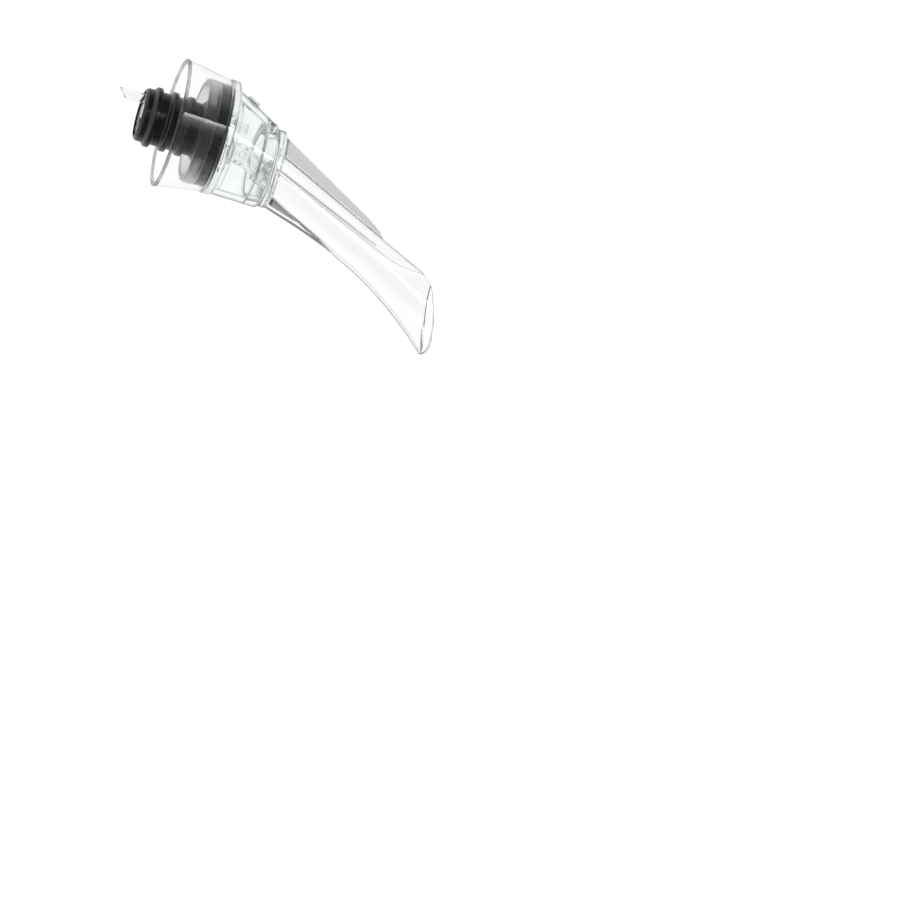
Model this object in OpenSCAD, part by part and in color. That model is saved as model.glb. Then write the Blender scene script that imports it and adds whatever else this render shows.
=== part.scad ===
// Wine aerator pourer: a clear beak on a soft ribbed plug, which draws air into what it pours.
// Millimetres. The origin is on the plug's axis, in the plane of the collar's flat seat.
// Z runs from the plug to the spout, X points to the side that pours, and Y = 0 is the mirror plane.

/* [Plug] */
// Diameter over the sealing ribs of the plug, as moulded
rib_d = 19.4; // [18.6:0.1:20.6]
// Diameter of the plug between its ribs
plug_core_d = 17.2; // [16.8:0.1:17.8]
// Length of the plug below the seat
plug_len = 21; // [17:0.5:26]
// Number of sealing ribs, with the one under the collar
rib_count = 4; // [3:1:5]
// Height of the round land on each rib
rib_land = 1.6; // [1.2:0.1:1.8]
// Height of the sloping lead under each land
rib_lead = 1.2; // [0.8:0.1:1.4]
// Length of plain plug under the last rib
plug_nose = 2.4; // [1.8:0.1:2.8]
// Chamfer at the plug's end
plug_chamfer = 0.8; // [0.5:0.1:1]
// Diameter of the flat seat round the plug
seat_d = 29.3; // [28.4:0.1:29.8]

/* [Stopper collar] */
// Outside diameter of the rubber collar under the plate
collar_d = 33.6; // [32.6:0.1:33.8]
// Thickness of the rubber collar
collar_t = 5.3; // [4.6:0.1:7]

/* [Lip ring] */
// Radial width of the soft ring round the seat
lip_ring_w = 2.3; // [1.8:0.1:2.4]
// Height of the soft ring
lip_ring_h = 4.1; // [3.4:0.1:5]
// Height of the ring that sits round the step of the collar
lip_ring_bite = 1; // [0.7:0.1:1.4]

/* [Drip skirt] */
// Outside diameter of the skirt at its rim
skirt_rim_d = 41.8; // [40:0.1:44]
// Outside diameter of the skirt where it leaves the band
skirt_root_d = 36.8; // [36.6:0.1:37.2]
// Wall of the skirt
skirt_wall = 1.2; // [1:0.1:1.2]
// Distance of the skirt's rim below the seat
skirt_drop = 11.2; // [8:0.2:14]
// Outside diameter of the band at the plate's edge
band_d = 37.5; // [37.3:0.1:38.4]
// Height of the band
band_h = 3.2; // [2.6:0.1:3.6]
// Bevel of the band's two outer edges
band_bevel = 0.4; // [0.2:0.1:0.6]
// Thickness of the plate
plate_t = 1.9; // [1.5:0.1:2.4]
// Outside diameter of the spigot that carries the stopper
spigot_d = 14.4; // [14.2:0.1:14.8]
// Chamfer at the spigot's end
spigot_chamfer = 0.6; // [0.4:0.1:0.8]
// Distance of the spigot's end above the plug's end
spigot_inset = 0.6; // [0.4:0.1:1]
// Height of the ring on the plate that centres the chamber
register_h = 1.7; // [1.2:0.1:2.2]
// Wall of that ring
register_wall = 1.3; // [1:0.1:1.6]

/* [Wine and air tubes] */
// Distance of the wine passage from the plug's axis, to the pouring side
wine_x = 3.4; // [3.2:0.1:3.6]
// Bore of the wine passage
wine_bore_d = 4.8; // [4.4:0.1:5]
// Wall of the wine tube
wine_wall = 0.8; // [0.7:0.05:0.9]
// Height of the wine tube's bend above the seat
bend_z = 13.5; // [13.2:0.1:14]
// Height of the knuckle at the bend over the tube
knuckle_rise = 0.4; // [0.2:0.05:0.6]
// Height of the socket that holds the wine tube on the plate
socket_h = 2.6; // [2:0.1:3.2]
// Wall of that socket and of the one in the spout
socket_wall = 1; // [0.8:0.1:1.2]
// Depth of the socket in the spout
spout_socket = 3; // [2.4:0.1:3.2]
// Distance of the wine tube's end below the top of the chamber
tube_end_drop = 0.6; // [0.4:0.1:0.8]
// Diameter of the air holes at the bend
air_hole_d = 1.8; // [1.2:0.1:2.2]
// Distance of the breather tube from the plug's axis, away from the pouring side
air_x = 4.8; // [4.6:0.1:4.9]
// Bore of the breather tube
air_bore_d = 1.8; // [1.4:0.1:2]
// Wall of the breather tube
air_wall = 0.7; // [0.6:0.05:0.75]
// Height of the breather tube's end above the plate
air_rise = 6.1; // [4:0.1:8]
// Length of the breather tube below the plug
air_tail = 8; // [4:0.5:14]
// Slope of the cut at the breather tube's lower end, in degrees
air_cut = 40; // [20:1:50]

/* [Aeration chamber] */
// Outside diameter of the chamber on the plate
chamber_base_d = 34.9; // [34.3:0.1:35.4]
// Shift of the chamber's base to the pouring side
chamber_base_x = 0.85; // [0.5:0.05:1.1]
// Outside diameter of the chamber's far end
chamber_end_d = 27; // [26.6:0.1:27.6]
// Shift of the chamber's far end to the pouring side
chamber_end_x = 5.1; // [4.8:0.1:5.4]
// Height of the chamber above the plate
chamber_h = 15.8; // [15:0.1:17]
// Wall of the chamber
chamber_wall = 1.9; // [1.6:0.1:2]
// Bevel of the chamber's far edge
chamber_bevel = 0.8; // [0.4:0.1:0.9]
// Width of the flat land between that bevel and the bore
chamber_land = 0.8; // [0.7:0.1:1]
// Diameter of the raised air inlet on the sloping side
inlet_d = 4.6; // [4:0.1:5.4]
// Height of the air inlet above the sloping side
inlet_rise = 0.9; // [0.5:0.1:1.4]
// Diameter of the air inlet's hole
inlet_hole_d = 2; // [1.4:0.1:2.6]
// Height of the air inlet's middle above the plate
inlet_z = 5.9; // [4.5:0.1:7.5]

/* [Spout] */
// Lean of the spout from the plug's axis, in degrees
pour_angle = 23.5; // [22.5:0.1:24.5]
// Diameter of the spout's channel at its root
channel_d = 7.9; // [7.4:0.1:8.2]
// Widening of the channel up and down, per millimetre of height
channel_flare = 0.025; // [0.015:0.001:0.03]
// Thickness of the solid back over the channel
back_t = 4.5; // [4:0.1:4.8]
// Thickness of the floor under the channel
floor_t = 1.4; // [1.1:0.1:1.7]
// Wall at the channel's sides at the root
side_t = 2.4; // [2:0.1:2.6]
// Extra half width of the channel at the mouth
channel_spread = 1.6; // [1:0.1:2]
// Extra half width of the outside at the mouth
outer_spread = 1; // [0.6:0.1:1.4]
// Height of the mouth's back corner above the chamber
spout_len = 61; // [56:0.5:64]
// Farthest reach of the spout's tip from the plug's axis
spout_reach = 50; // [47:0.5:51]
// Tilt of the mouth from level, rising to the tip, in degrees
mouth_tilt = 16.2; // [12:0.1:20]
// Rounding of the mouth's back corner
lip_r = 10; // [7:0.5:12]
// Rounding of the mouth's tip, seen from the side
tip_r = 3; // [2:0.5:4]
// Rounding of the mouth's tip, seen from above
tip_plan_r = 8; // [7.5:0.1:9]
// Height above the chamber where the floor starts to curve over
belly_start = 34; // [32:0.1:38]
// Radius of the floor's curve
belly_r = 91; // [82:1:104]
// Diameter of the flange at the spout's root
flange_d = 25.6; // [25:0.1:26.2]
// Thickness of that flange
flange_t = 2.5; // [2.3:0.1:3]
// Length of the ring that plugs the chamber
plug_ring_h = 4.7; // [3.6:0.1:5.2]
// Wall of that ring
plug_ring_wall = 1.6; // [1.2:0.1:1.8]
// Bore of the throat between the wine tube and the channel
throat_d = 5.2; // [5:0.1:5.4]

/* [Fin and web] */
// Thickness of the fin on the spout's back
fin_t = 2.2; // [1.6:0.1:3]
// Distance of the fin's root corner from the middle of the flange
fin_root = 11.6; // [10.4:0.1:12]
// Height above the chamber where the fin ends
fin_len = 40.8; // [34:0.2:46]
// Height of the fin over the back at its end
fin_end_h = 1.9; // [1.2:0.1:2.6]
// Height over which the fin's end runs down into the back
fin_nose = 2; // [1.5:0.1:3]
// Thickness of the web under the spout's root
web_t = 1.6; // [1.2:0.1:2.2]
// Height above the chamber where the web runs out
web_len = 33; // [28:0.5:36]
// Depth of the web's rim below the floor at the root
web_drop = 4; // [3:0.1:4.4]
// Width of the web's rim
rim_w = 4; // [3:0.1:5]
// Thickness of the web's rim
rim_t = 1.3; // [1:0.1:1.6]

/* [Clearances] */
// Radial clearance of the stopper on its spigot, which slides off for washing
stopper_gap = 0.05; // [0.03:0.01:0.08]
// Radial clearance of pieces that are pushed together and stay
push_gap = 0.05; // [0.03:0.01:0.08]
// Radial clearance between the chamber and the ring that centres it
register_gap = 0.1; // [0.05:0.01:0.2]
// Clearance under the ring that plugs the chamber
ring_end_gap = 0.1; // [0.05:0.01:0.2]

/* [Hidden] */
$fn = 96;
clear_color = [0.9, 0.94, 0.94, 0.4];
ring_color = [0.72, 0.74, 0.74, 0.7];
rubber_color = [0.06, 0.06, 0.06];
// Overlap of cuts and roots with what they cut or join, and a distance past every piece
through = 1;
lap = 0.2;
corner_lap = 0.15;
root = 0.5;
far = 60;
plate_top = collar_t + plate_t;
chamber_top = plate_top + chamber_h;
band_z = plate_top - band_h;
rib_r = rib_d / 2;
core_r = plug_core_d / 2;
seat_r = seat_d / 2;
collar_r = collar_d / 2;
bore_r = spigot_d / 2 + stopper_gap;
rib_pitch = (plug_len - rib_land - rib_lead - plug_nose) / (rib_count - 1);
spigot_end = spigot_inset - plug_len;
tube_d = wine_bore_d + 2 * wine_wall;
air_d = air_bore_d + 2 * air_wall;
socket_top = chamber_top - tube_end_drop;
slant_len = (socket_top - bend_z) / cos(pour_angle);
run_back = (chamber_end_x - chamber_base_x + (chamber_base_d - chamber_end_d) / 2) / chamber_h;
run_front = (chamber_end_x - chamber_base_x - (chamber_base_d - chamber_end_d) / 2) / chamber_h;
cone_half = (atan(run_back) - atan(run_front)) / 2;
cone_tilt = (atan(run_back) + atan(run_front)) / 2;
apex_h = chamber_base_d / (run_back - run_front);
apex_x = chamber_base_x - chamber_base_d / 2 + run_back * apex_h;
land_d = chamber_end_d - 2 * chamber_bevel - 2 * chamber_land;
land_z = chamber_top - plug_ring_h - ring_end_gap;
rise = tan(pour_angle);
channel_x = wine_x + (chamber_top - bend_z) * rise;
// Heights above the chamber where the channel starts, where the spout widens over a run, and where
// the channel's ceiling curves to the back, with the curve's steepness
channel_start = 2;
spread_start = 27;
spread_run = 40;
ceiling_start = 44;
ceiling_k = 0.012;
// Depth of the web's rim in the floor where it runs out
web_sink = 0.4;
// Level sections of the spout's skins, their spacing and their corners
beak_start = 1;
stations = 24;
station_h = 3.1;
corners = 44;
belly_k = 1 / (2 * belly_r * pow(cos(pour_angle), 3));
half_root = channel_d / 2 / cos(pour_angle);

// The side outline of the spout, as distances from the plug's axis at a height above the chamber
function past(t, start) = max(0, t - start);
function ceiling_x(t) =
    channel_x - half_root + (rise - channel_flare) * t - ceiling_k * pow(past(t, ceiling_start), 2);
function floor_x(t) =
    channel_x + half_root + (rise + channel_flare) * t + belly_k * pow(past(t, belly_start), 2);
function back_x(t) = channel_x - half_root - back_t / cos(pour_angle) + rise * t;
function belly_x(t) = floor_x(t) + floor_t / cos(pour_angle);
function rim_x(t) = belly_x(t) + web_drop * pow(1 - t / web_len, 2) - web_sink * t / web_len;
function widening(t) = pow(past(t, spread_start) / spread_run, 2);
function channel_half(t) = channel_d / 2 + channel_spread * widening(t);
function outer_half(t) = channel_d / 2 + side_t + outer_spread * widening(t);

// One level oval section between two distances from the axis
function oval(t, from_x, to_x, half_y) = [
    for (i = [0:corners - 1])
        [
            (from_x + to_x) / 2 + (to_x - from_x) / 2 * cos(360 * i / corners),
            half_y * sin(360 * i / corners),
            chamber_top + t
        ]
];

function arc(center, r, from_a, to_a, steps) = [
    for (i = [0:steps])
        center + r * [cos(from_a + (to_a - from_a) * i / steps), sin(from_a + (to_a - from_a) * i / steps)]
];

// A skin over level sections with the same number of corners
module skin(sections) {
    n = len(sections[0]);
    last = len(sections) - 1;
    points = [for (s = sections) each s];
    lower = [
        for (i = [0:last - 1]) for (j = [0:n - 1])
            [i * n + j, i * n + n + j, i * n + n + (j + 1) % n]
    ];
    upper = [
        for (i = [0:last - 1]) for (j = [0:n - 1])
            [i * n + j, i * n + n + (j + 1) % n, i * n + (j + 1) % n]
    ];
    foot = [for (j = [0:n - 1]) j];
    head = [for (j = [n - 1:-1:0]) last * n + j];
    polyhedron(points, concat([foot], lower, upper, [head]));
}

// A plate in the mirror plane from an outline of distance and height
module side_plate(thickness, outline) {
    rotate([90, 0, 0])
        linear_extrude(height = thickness, center = true)
            polygon(outline);
}

// The chamber's tilted round cone, moved in from its outside by the inset
module leaning_cone(inset) {
    cone_h = apex_h + far / 2;
    translate([apex_x, 0, plate_top + apex_h])
        rotate([0, cone_tilt, 0])
            translate([0, 0, -cone_h - inset / sin(cone_half)])
                cylinder(r1 = cone_h * tan(cone_half), r2 = 0, h = cone_h);
}

// The part of the children between two levels
module between(low, high) {
    intersection() {
        children();
        translate([0, 0, low])
            cylinder(r = far, h = high - low);
    }
}

// Anything along the slanted part of the wine tube, from a distance past the bend
module on_slant(from_bend) {
    translate([wine_x, 0, bend_z])
        rotate([0, pour_angle, 0])
            translate([0, 0, from_bend])
                children();
}

// The path of the wine tube: two straights that meet in a round knuckle
module bent_rod(d, knuckle_d, overrun) {
    translate([wine_x, 0, plate_top - overrun])
        cylinder(d = d, h = bend_z - plate_top + overrun);
    translate([wine_x, 0, bend_z])
        sphere(d = knuckle_d);
    on_slant(0)
        cylinder(d = d, h = slant_len + overrun);
}

module drip_skirt() {
    root_r = skirt_root_d / 2;
    rim_r = skirt_rim_d / 2;
    rim_z = skirt_wall / 2 - skirt_drop;
    color(clear_color)
        difference() {
            union() {
                rotate_extrude() {
                    polygon([
                        [0, collar_t],
                        [root_r - skirt_wall, collar_t],
                        [root_r - skirt_wall, band_z],
                        [rim_r - skirt_wall, rim_z],
                        [rim_r, rim_z],
                        [root_r, band_z],
                        [band_d / 2 - band_bevel, band_z],
                        [band_d / 2, band_z + band_bevel],
                        [band_d / 2, plate_top - band_bevel],
                        [band_d / 2 - band_bevel, plate_top],
                        [0, plate_top]
                    ]);
                    translate([rim_r - skirt_wall / 2, rim_z])
                        circle(d = skirt_wall);
                }
                rotate_extrude()
                    polygon([
                        [0, collar_t + plate_t / 2],
                        [spigot_d / 2, collar_t + plate_t / 2],
                        [spigot_d / 2, spigot_end + spigot_chamfer],
                        [spigot_d / 2 - spigot_chamfer, spigot_end],
                        [0, spigot_end]
                    ]);
                between(plate_top - plate_t / 2, plate_top + register_h)
                    difference() {
                        leaning_cone(chamber_wall + register_gap);
                        leaning_cone(chamber_wall + register_gap + register_wall);
                    }
                translate([wine_x, 0, plate_top - plate_t / 2])
                    cylinder(d = tube_d + 2 * push_gap + 2 * socket_wall, h = plate_t / 2 + socket_h);
            }
            translate([wine_x, 0, plate_top])
                cylinder(d = tube_d + 2 * push_gap, h = socket_h + through);
            translate([wine_x, 0, spigot_end - through])
                cylinder(d = wine_bore_d, h = plate_top - spigot_end + 2 * through);
            translate([-air_x, 0, spigot_end - through])
                cylinder(d = air_d + 2 * push_gap, h = plate_top - spigot_end + 2 * through);
        }
}

module lip_ring() {
    inner_r = seat_r + push_gap;
    round_z = lip_ring_bite - lip_ring_h + lip_ring_w / 2;
    color(ring_color)
        rotate_extrude() {
            translate([inner_r, round_z])
                square([lip_ring_w, lip_ring_bite - round_z]);
            translate([inner_r + lip_ring_w / 2, round_z])
                circle(d = lip_ring_w);
        }
}

module stopper() {
    color(rubber_color)
        difference() {
            rotate_extrude() {
                polygon([
                    [0, collar_t],
                    [collar_r, collar_t],
                    [collar_r, lip_ring_bite],
                    [seat_r, lip_ring_bite],
                    [seat_r, 0],
                    [core_r, 0],
                    [core_r, plug_chamfer - plug_len],
                    [core_r - plug_chamfer, -plug_len],
                    [0, -plug_len]
                ]);
                for (i = [0:rib_count - 1])
                    polygon([
                        [core_r - root, -i * rib_pitch],
                        [rib_r, -i * rib_pitch],
                        [rib_r, -i * rib_pitch - rib_land],
                        [core_r - root, -i * rib_pitch - rib_land - rib_lead]
                    ]);
            }
            translate([0, 0, -plug_len - through])
                cylinder(r = bore_r, h = plug_len + collar_t + 2 * through);
        }
}

module aeration_chamber() {
    end_d = chamber_end_d - 2 * chamber_bevel;
    slope_x = chamber_base_x - chamber_base_d / 2 + run_back * inlet_z;
    color(clear_color)
        difference() {
            union() {
                intersection() {
                    between(plate_top, chamber_top)
                        leaning_cone(0);
                    translate([chamber_end_x, 0, plate_top])
                        cylinder(d1 = end_d + 2 * chamber_h, d2 = end_d, h = chamber_h);
                }
                translate([slope_x, 0, plate_top + inlet_z])
                    rotate([0, atan(run_back) - 90, 0])
                        translate([0, 0, -chamber_wall / 2])
                            cylinder(d = inlet_d, h = inlet_rise + chamber_wall / 2);
            }
            between(plate_top - through, land_z)
                leaning_cone(chamber_wall);
            translate([chamber_end_x, 0, land_z - lap])
                cylinder(d = land_d, h = chamber_top - land_z + lap + through);
            translate([slope_x, 0, plate_top + inlet_z])
                rotate([0, atan(run_back) - 90, 0])
                    translate([0, 0, -2 * chamber_wall])
                        cylinder(d = inlet_hole_d, h = 3 * chamber_wall + inlet_rise);
        }
}

module wine_tube() {
    color(clear_color)
        difference() {
            bent_rod(tube_d, tube_d + 2 * knuckle_rise, 0);
            bent_rod(wine_bore_d, wine_bore_d + lap, through);
            translate([wine_x, 0, bend_z])
                rotate([90, 0, 0])
                    cylinder(d = air_hole_d, h = tube_d + 4 * knuckle_rise, center = true);
        }
}

module air_tube() {
    low = -plug_len - air_tail;
    color(clear_color)
        difference() {
            translate([-air_x, 0, low])
                cylinder(d = air_d, h = plate_top + air_rise - low);
            translate([-air_x, 0, low - through])
                cylinder(d = air_bore_d, h = plate_top + air_rise - low + 2 * through);
            translate([-air_x - air_d / 2, 0, low])
                rotate([0, -air_cut, 0])
                    translate([-air_d, -air_d, -2 * air_d])
                        cube([4 * air_d, 2 * air_d, 2 * air_d]);
        }
}

// The outline that ends the spout: straight at its reach, round at the tip and at the back corner
module mouth_shape() {
    corner = [back_x(spout_len) + corner_lap, spout_len];
    along = [cos(mouth_tilt), sin(mouth_tilt)];
    down = [sin(mouth_tilt), -cos(mouth_tilt)];
    lip_half = (90 + pour_angle + mouth_tilt) / 2;
    lip_mid = corner + along * lip_r / tan(lip_half) + down * lip_r;
    tip_z = corner[1] + (spout_reach - corner[0]) * tan(mouth_tilt);
    tip_mid = [spout_reach - tip_r, tip_z - tip_r / tan((90 - mouth_tilt) / 2)];
    lip_end = lip_mid + lip_r * [-cos(pour_angle), sin(pour_angle)];
    translate([0, 0, chamber_top])
        side_plate(far, concat(
            [[spout_reach, -through]],
            arc(tip_mid, tip_r, 0, 90 + mouth_tilt, 8),
            arc(lip_mid, lip_r, 90 + mouth_tilt, 180 - pour_angle, 12),
            [lip_end + through * [-4, 1]],
            [[-far, lip_end[1] - lip_r]],
            [[-far, -through]]
        ));
}

module beak() {
    intersection() {
        skin([
            for (i = [0:stations])
                let (t = beak_start + i * station_h)
                    oval(t, back_x(t), belly_x(t), outer_half(t))
        ]);
        mouth_shape();
        translate([0, 0, chamber_top - through])
            linear_extrude(height = 2 * spout_len)
                union() {
                    translate([spout_reach - tip_plan_r - 2 * far, -tip_plan_r])
                        square([2 * far, 2 * tip_plan_r]);
                    translate([spout_reach - tip_plan_r, 0])
                        circle(r = tip_plan_r);
                }
    }
}

module channel() {
    skin([
        for (i = [0:stations])
            let (t = channel_start + i * station_h)
                oval(t, ceiling_x(t), floor_x(t), channel_half(t))
    ]);
}

module fin() {
    translate([0, 0, chamber_top])
        side_plate(fin_t, [
            [chamber_end_x - fin_root, flange_t - through],
            [chamber_end_x - fin_root, flange_t],
            [back_x(fin_len) - fin_end_h, fin_len],
            [back_x(fin_len + fin_nose) + through, fin_len + fin_nose],
            [back_x(flange_t) + through + root, flange_t - through]
        ]);
}

module web() {
    steps = 20;
    foot = flange_t - through;
    top = [for (i = [0:steps]) foot + (web_len - foot) * i / steps];
    translate([0, 0, chamber_top]) {
        side_plate(rim_w, concat(
            [for (t = top) [rim_x(t), t]],
            [for (i = [steps:-1:0]) [rim_x(top[i]) - rim_t / cos(pour_angle), top[i]]]
        ));
        side_plate(web_t, concat(
            [for (t = top) [rim_x(t) - rim_t / 2, t]],
            [[belly_x(web_len) - floor_t, web_len]],
            [[belly_x(foot) - floor_t, foot]]
        ));
    }
}

module spout() {
    ring_d = land_d - 2 * push_gap;
    color(clear_color)
        difference() {
            union() {
                translate([chamber_end_x, 0, chamber_top])
                    cylinder(d = flange_d, h = flange_t);
                translate([chamber_end_x, 0, chamber_top - plug_ring_h])
                    difference() {
                        cylinder(d = ring_d, h = plug_ring_h + flange_t / 2);
                        translate([0, 0, -through])
                            cylinder(d = ring_d - 2 * plug_ring_wall, h = plug_ring_h + through);
                    }
                on_slant(slant_len - spout_socket)
                    cylinder(d = tube_d + 2 * push_gap + 2 * socket_wall, h = spout_socket + channel_start);
                beak();
                fin();
                web();
            }
            channel();
            on_slant(slant_len - spout_socket - through)
                cylinder(d = tube_d + 2 * push_gap, h = spout_socket + through);
            on_slant(slant_len - through)
                cylinder(d = throat_d, h = 2 * channel_start + through);
        }
}

drip_skirt();
lip_ring();
stopper();
aeration_chamber();
wine_tube();
air_tube();
spout();
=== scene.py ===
"""Looks of a wine aerator pourer: clear mouldings, a rubber stopper and a soft lip ring.

Every piece is a run of rings in millimetres, in the frame of the solids: Z goes up from the
plug to the spout, X to the pouring side, and Y = 0 is the mirror plane. Meshes are in metres.
"""

import math

import bmesh
import bpy
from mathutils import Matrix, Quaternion, Vector


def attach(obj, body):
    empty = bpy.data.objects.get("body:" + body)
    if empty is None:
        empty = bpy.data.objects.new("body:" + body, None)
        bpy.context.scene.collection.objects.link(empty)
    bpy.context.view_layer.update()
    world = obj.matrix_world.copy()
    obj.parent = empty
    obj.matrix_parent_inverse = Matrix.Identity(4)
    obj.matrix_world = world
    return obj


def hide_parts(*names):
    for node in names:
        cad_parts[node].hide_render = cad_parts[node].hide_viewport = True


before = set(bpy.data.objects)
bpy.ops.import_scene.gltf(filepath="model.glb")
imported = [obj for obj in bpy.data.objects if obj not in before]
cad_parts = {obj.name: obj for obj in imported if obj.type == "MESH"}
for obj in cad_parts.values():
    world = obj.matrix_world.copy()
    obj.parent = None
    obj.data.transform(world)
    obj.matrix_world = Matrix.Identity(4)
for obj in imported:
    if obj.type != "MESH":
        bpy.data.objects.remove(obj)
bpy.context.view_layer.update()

MM = 0.001
AIR = 0.03  # film of air between two pieces that touch
PUSH_GAP = 0.05  # clearance of a tube in its hole

# Plug, collar and lip ring
RIB_R, CORE_R, PLUG_LEN, PLUG_NOSE, PLUG_CHAMFER = 9.7, 8.6, 21.0, 2.4, 0.8
RIB_COUNT, RIB_LAND, RIB_LEAD, RIB_ROOT = 4, 1.6, 1.2, 0.5
RIB_RUN = RIB_LEAD * (RIB_R - CORE_R) / (RIB_R - CORE_R + RIB_ROOT)
RIB_PITCH = (PLUG_LEN - RIB_LAND - RIB_LEAD - PLUG_NOSE) / (RIB_COUNT - 1)
SEAT_R, COLLAR_R, COLLAR_T, BORE_R = 14.65, 16.8, 5.3, 7.25
LIP_IN_R, LIP_OUT_R, LIP_TOP, LIP_LOW, LIP_ROUND = 14.7, 17.0, 1.0, -3.1, 1.15

# Base moulding
PLATE_TOP = 7.2
BAND_R, BAND_LOW, BAND_BEVEL = 18.75, 4.0, 0.4
ROOT_R, RIM_R, SKIRT_WALL, RIM_LOW = 18.4, 20.895, 1.2, -11.2
BEAD_TOP, BEAD_STEP, BEAD_LEAD, BEAD_DROP = -10.2, 0.1, 0.3, 0.2
# below this level the skirt's rim is dulled and painted with grey shade
WORN_AND_SHADED_BELOW = BEAD_TOP - 0.05
SPIGOT_R, SPIGOT_END, SPIGOT_CHAMFER = 7.2, -20.4, 0.6
REGISTER_TOP, REGISTER_OUT, REGISTER_IN = 8.9, 2.0, 3.3

# Tubes
WINE_X, WINE_R, WINE_BORE_R, BEND_Z, BEND_ROUND = 3.4, 3.2, 2.4, 13.5, 1.2
KNUCKLE_R, KNUCKLE_BORE_R = 3.6, 2.5
AIR_HOLE_R, AIR_HOLE_EDGE = 0.9, 0.12
SOCKET_R, SOCKET_OUT_R, SOCKET_TOP = 3.25, 4.25, 9.8
BREATHER_X, BREATHER_R, BREATHER_BORE_R = -4.8, 1.6, 0.9
BREATHER_TOP, BREATHER_LOW, BREATHER_CUT = 13.3, -29.0, math.tan(math.radians(40))

# Chamber
CHAMBER_TOP, CHAMBER_WALL, BASE_X, BASE_R, END_X, END_R = 23.0, 1.9, 0.85, 17.45, 5.1, 13.5
CHAMBER_H = CHAMBER_TOP - PLATE_TOP
RUN_BACK = (END_X - BASE_X + BASE_R - END_R) / CHAMBER_H
RUN_FRONT = (END_X - BASE_X - BASE_R + END_R) / CHAMBER_H
CONE_HALF = (math.atan(RUN_BACK) - math.atan(RUN_FRONT)) / 2
CONE_TILT = (math.atan(RUN_BACK) + math.atan(RUN_FRONT)) / 2
BASE_BACK = BASE_X - BASE_R
APEX_H = 2 * BASE_R / (RUN_BACK - RUN_FRONT)
APEX_X = BASE_BACK + RUN_BACK * APEX_H
END_BEVEL, END_LAND_RX, END_LAND_RY, LAND_R, LAND_Z = 0.7, 12.75, 12.5, 11.9, 18.2
INLET_R, INLET_RISE, INLET_HOLE_R, INLET_Z, INLET_FILLET = 2.3, 0.9, 1.0, 5.9, 0.2

# Spout
POUR = math.radians(23.5)
RISE = math.tan(POUR)
TUBE_END_DROP = 0.6
SLANT_LEN = (CHAMBER_TOP - TUBE_END_DROP - BEND_Z) / math.cos(POUR)
CHANNEL_X = WINE_X + (CHAMBER_TOP - BEND_Z) * RISE
CHANNEL_R, CHANNEL_START, BACK_T, FLOOR_T, SIDE_T, FLARE = 3.95, 2.0, 4.5, 1.4, 2.4, 0.025
HALF_ROOT = CHANNEL_R / math.cos(POUR)
BELLY_START, BELLY_R = 34.0, 91.0
BELLY_K = 1 / (2 * BELLY_R * math.cos(POUR) ** 3)
CEILING_START, CEILING_K = 44.0, 0.012
SPREAD_START, SPREAD_RUN, CHANNEL_SPREAD, OUTER_SPREAD = 27.0, 40.0, 1.6, 1.0
SPOUT_LEN, REACH, MOUTH_TILT, LIP_R = 61.0, 50.0, math.radians(16.2), 10.0
TIP_R, TIP_PLAN_R, TIP_BLEND, TIP_FALL = 3.0, 8.0, 4.0, 8.0
FLANGE_R, FLANGE_T, FLANGE_EDGE = 12.8, 2.5, 0.2
PLUG_RING_R, PLUG_RING_IN_R, PLUG_RING_H = 11.85, 10.25, 4.7
THROAT_R, SPOUT_SOCKET = 2.6, 3.0

# Fin, and web with its rim, on the spout
FIN_HALF, FIN_ROOT_X, FIN_LEN, FIN_END_H, NOSE_START, NOSE_PAST = 1.1, -6.5, 40.8, 1.9, 35.5, 1.8
FIN_EDGE, FIN_FILLET, FIN_FADE = 0.4, 0.6, 0.8
WEB_HALF, WEB_LEN, WEB_DROP, WEB_SINK, WEB_FILLET, WEB_FADE = 0.8, 33.0, 4.0, 0.4, 0.4, 0.4
RIM_HALF, RIM_T, RIM_EDGE, LEDGE_EDGE, NOTCH_FADE = 2.0, 1.42, 0.35, 0.3, 1.1
RIM_ROOT_DRAW, RIM_ROOT_RUN = 0.45, 2.0
POCKET_LIFT, POCKET_LEN = 0.9, 18.0
SHALLOW = 0.02  # a fin or web lower than this isn't drawn
LEAST_LEDGE = 0.01


# Rings and skins

EDGE_STEPS = 4  # steps of the short curve that rounds an edge
CUT_SHARE = 0.45  # the most of a stretch that a rounding may take
NO_GAP = 1e-9
HALVINGS = 46  # of the stretch that a search starts with
MERGE, FLAT = 2e-7, 1e-8  # metres: points this close become one, and edges this short go
CREASE = math.radians(38)  # faces that meet at more than this keep a crisp edge


class Ring(list):
    """Points of one ring, with how far its edge is worn dull and painted with grey shade."""
    wear_and_edge_shade = 0.0


def even_turns(n):
    return [2 * math.pi * i / n for i in range(n)]


def oval(x, rx, ry, z, turns):
    """A level oval, from its far side round by +Y."""
    return [Vector((x - rx * math.cos(a), ry * math.sin(a), z)) for a in turns]


def circle(x, r, z, turns):
    return oval(x, r, r, z, turns)


def cone_slice(inset, z):
    """Middle and half widths of the chamber's leaning cone at a level, moved in by the inset."""
    back = inset / math.sin(CONE_HALF)
    apex_x = APEX_X - back * math.sin(CONE_TILT)
    drop = PLATE_TOP + APEX_H - back * math.cos(CONE_TILT) - z
    far, near = apex_x - drop * RUN_BACK, apex_x - drop * RUN_FRONT
    across = math.cos(CONE_TILT + CONE_HALF) * math.cos(CONE_TILT - CONE_HALF)
    return (far + near) / 2, (near - far) / 2, drop * math.sin(CONE_HALF) / math.sqrt(across)


def cone_ring(inset, z, turns):
    x, rx, ry = cone_slice(inset, z)
    return oval(x, rx, ry, z, turns)


def between(a, b, share):
    return a + (b - a) * share


def ease(value):
    value = min(1.0, max(0.0, value))
    return value * value * (3 - 2 * value)


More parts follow.
